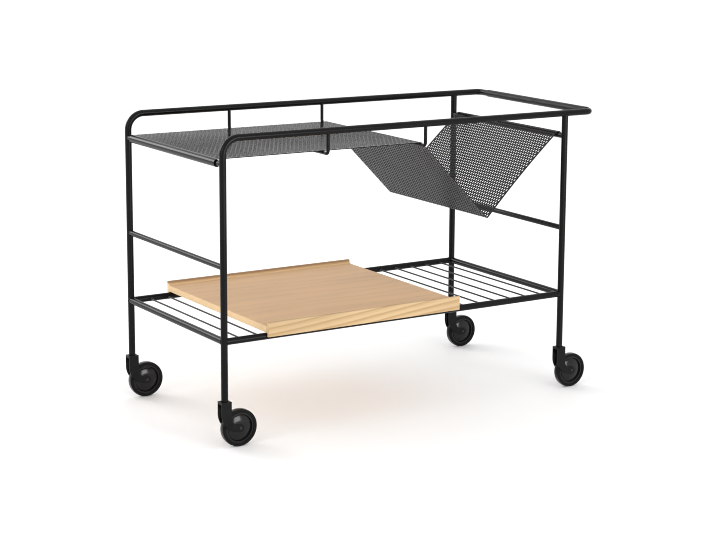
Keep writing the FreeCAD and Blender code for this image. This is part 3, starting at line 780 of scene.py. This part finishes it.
def makeWeldTree():
    tree, given, out = newGroup(
        "weldBeads",
        [("Geometry", "Geometry", None), ("Bar Radius", "Float", 0.005), ("Host Radius", "Float", 0.006),
         ("Host Offset", "Float", 0.0), ("Bead Radius", "Float", 0.0009), ("Ring Steps", "Int", 36),
         ("Bead Sides", "Int", 8), ("Ripple", "Float", 0.1), ("Ripple Turn", "Float", 2.0),
         ("Material", "Material", None)],
        [("Geometry", "Geometry")], "GeometryNodeTree")
    ring = made(tree, "GeometryNodeCurvePrimitiveCircle", Resolution=given["Ring Steps"],
                Radius=given["Bar Radius"])
    spot = splitVector(tree, made(tree, "GeometryNodeInputPosition"))
    fromHost = calc(tree, "SUBTRACT", spot[1], given["Host Offset"])
    rest = calc(tree, "SUBTRACT", calc(tree, "POWER", given["Host Radius"], 2.0),
                times(tree, fromHost, fromHost))
    saddle = calc(tree, "SQRT", calc(tree, "MAXIMUM", rest, 0.0))
    ring = made(tree, "GeometryNodeSetPosition", Geometry=ring, Offset=vector(tree, z=saddle))
    beat = calc(tree, "SINE", times(tree, made(tree, "GeometryNodeInputIndex"), given["Ripple Turn"]))
    ring = made(tree, "GeometryNodeSetCurveRadius", Curve=ring,
                Radius=calc(tree, "MULTIPLY_ADD", beat, given["Ripple"], 1.0))
    section = made(tree, "GeometryNodeCurvePrimitiveCircle", Resolution=given["Bead Sides"],
                   Radius=given["Bead Radius"])
    bead = made(tree, "GeometryNodeCurveToMesh", Curve=ring, Profile_Curve=section,
                Scale=made(tree, "GeometryNodeInputRadius"))
    turn = put(tree, "GeometryNodeInputNamedAttribute", data_type="FLOAT_VECTOR")
    fill(tree, turn, Name="turn")
    spin = made(tree, "FunctionNodeEulerToRotation", Euler=turn.outputs[0])
    beads = made(tree, "GeometryNodeInstanceOnPoints", Points=given["Geometry"], Instance=bead,
                 Rotation=spin)
    endTree(tree, out, beads, given["Material"])
    return tree


# one point per joint, with the turn that lays a bead along the bar and across its host
def jointSeeds(name, joints):
    mesh = bpy.data.meshes.new(name)
    mesh.from_pydata([place for place, along, host in joints], [], [])
    turns = mesh.attributes.new("turn", "FLOAT_VECTOR", "POINT")
    for value, (place, along, host) in zip(turns.data, joints):
        side = Vector(along).cross(Vector(host))
        turned = Matrix((Vector(host), side, Vector(along))).transposed()
        value.vector = turned.to_euler()
    return mesh


def makeWelds(look):
    tree = makeWeldTree()
    upright, lengthwise, downwards = (0, 0, 1), (1, 0, 0), (0, 0, -1)

    def inwards(y):
        return -math.copysign(1, y)

    legs = [(x, y) for x in (leftX, rightX) for y in (nearY, farY)]
    rungs = [((x, y, z), (0, inwards(y), 0), upright) for x, y in legs for z in (midRungZ, shelfBarZ)]
    rails = [((x, y, lowerRailZ), (0, inwards(y), 0), upright) for x, y in legs]
    rails += [((x, y, lowerRailZ), (1 if x == leftX else -1, 0, 0), upright) for x, y in legs]
    rails += [((rightX, y, topRailZ), downwards, lengthwise) for y in (nearY, farY)]
    cradles = [((x, y + cradleInset * inwards(y), topRailZ), downwards, (inwards(y), 0, 0))
               for x in cradleXs for y in (nearY, farY)]
    bay = (rightX - leftX) / look["rackBays"]
    wires = [((leftX + number * bay, y, lowerRailZ), (0, inwards(y), 0), lengthwise)
             for number in range(1, look["rackBays"]) for y in (nearY, farY)]
    kinds = {"rungWelds": (rungs, barRadius, look["barBead"], 0.0),
             "railWelds": (rails, tubeRadius, look["barBead"], 0.0),
             "cradleWelds": (cradles, cradleRadius, look["wireBead"], cradleInset),
             "wireWelds": (wires, rackWireRadius, look["wireBead"], 0.0)}
    for name, (joints, radius, bead, offset) in kinds.items():
        settings = {"Bar Radius": radius, "Host Radius": tubeRadius, "Host Offset": offset,
                    "Bead Radius": bead, "Ring Steps": look["ringSteps"], "Bead Sides": look["beadSides"],
                    "Ripple": look["ripple"], "Ripple Turn": look["rippleTurn"], "Material": framePaint}
        mesh = growMesh(tree, name, settings, jointSeeds(name + "Seeds", joints))
        finishPiece(name, mesh, "frame", look["sharpAngle"])


makeWelds(weldLook)


# stage, light and camera
cameraLook = {"place": (-1.8108, -2.8934, 0.9648), "yaw": 35.18, "pitch": 10.70, "roll": -0.92,
              "focalPixels": 1839.1, "centrePixel": (462.5, 227.6), "image": (716, 540), "sensor": 36.0,
              "clipEnd": 200.0}
lightLooks = {
    "front": {"place": (0.85, -3.9, 0.8), "size": (1.5, 1.5), "power": 62.0},
    "back": {"place": (-1.7, 3.3, 1.75), "size": (1.6, 1.3), "power": 34.0},
    "left": {"place": (-3.4, -1.2, 1.7), "size": (1.6, 1.6), "power": 20.0},
}
roomLook = {"world": (1.0, 1.0, 1.0, 1), "worldStrength": 1.09, "lightsAim": (0, 0, 0.3)}
floorLook = {"tone": (0.955, 0.955, 0.953, 1), "patch": (0.945, 0.945, 0.942, 1), "patchScale": 1.5,
             "patchSpan": (0.3, 0.7), "rough": 0.7, "reach": 60.0}


def makeFloor(look):
    mesh = bpy.data.meshes.new("floor")
    reach = look["reach"]
    corners = [(-reach, -reach, 0), (reach, -reach, 0), (reach, reach, 0), (-reach, reach, 0)]
    mesh.from_pydata(corners, [], [(0, 1, 2, 3)])
    floor = linkObject("floor", mesh)
    material, tree, shader = newMaterial("paleFloor", Roughness=look["rough"])
    patches = spread(tree, noise(tree, coords(tree), look["patchScale"]), *look["patchSpan"])
    fill(tree, shader, Base_Color=blendColour(tree, patches, look["tone"], look["patch"]))
    mesh.materials.append(material)


def makeLights(room, lights):
    world = bpy.data.worlds.new("studio")
    scene.world = world
    world.use_nodes = True
    sky = world.node_tree.nodes["Background"]
    fill(world.node_tree, sky, Color=room["world"], Strength=room["worldStrength"])
    for name, look in lights.items():
        lamp = bpy.data.lights.new(name, "AREA")
        lamp.shape = "RECTANGLE"
        lamp.size, lamp.size_y = look["size"]
        lamp.energy = look["power"]
        holder = linkObject(name, lamp)
        holder.location = look["place"]
        holder.visible_camera = False
        aim = Vector(room["lightsAim"]) - Vector(look["place"])
        holder.rotation_euler = aim.to_track_quat("-Z", "Y").to_euler()


def makeCamera(look):
    yaw, pitch, roll = [math.radians(look[name]) for name in ("yaw", "pitch", "roll")]
    level = math.cos(pitch)
    ahead = Vector((math.sin(yaw) * level, math.cos(yaw) * level, -math.sin(pitch)))
    right = Vector((math.cos(yaw), -math.sin(yaw), 0))
    down = ahead.cross(right)
    tiltedRight = right * math.cos(roll) + down * math.sin(roll)
    tiltedDown = down * math.cos(roll) - right * math.sin(roll)
    lens = bpy.data.cameras.new("photoCamera")
    lens.sensor_fit = "HORIZONTAL"
    lens.sensor_width = look["sensor"]
    wide, high = look["image"]
    lens.lens = look["focalPixels"] * look["sensor"] / wide
    lens.shift_x = (wide / 2 - look["centrePixel"][0]) / wide
    lens.shift_y = (look["centrePixel"][1] - high / 2) / wide
    lens.clip_end = look["clipEnd"]
    camera = linkObject("photoCamera", lens)
    turned = Matrix((tiltedRight, -tiltedDown, -ahead)).transposed()
    camera.matrix_world = Matrix.Translation(look["place"]) @ turned.to_4x4()
    scene.camera = camera


makeFloor(floorLook)
makeLights(roomLook, lightLooks)
makeCamera(cameraLook)
scene.view_settings.view_transform = "Standard"
scene.cycles.filter_width = 1.0  # narrow enough to keep the fine holes crisp
print("stage ready")
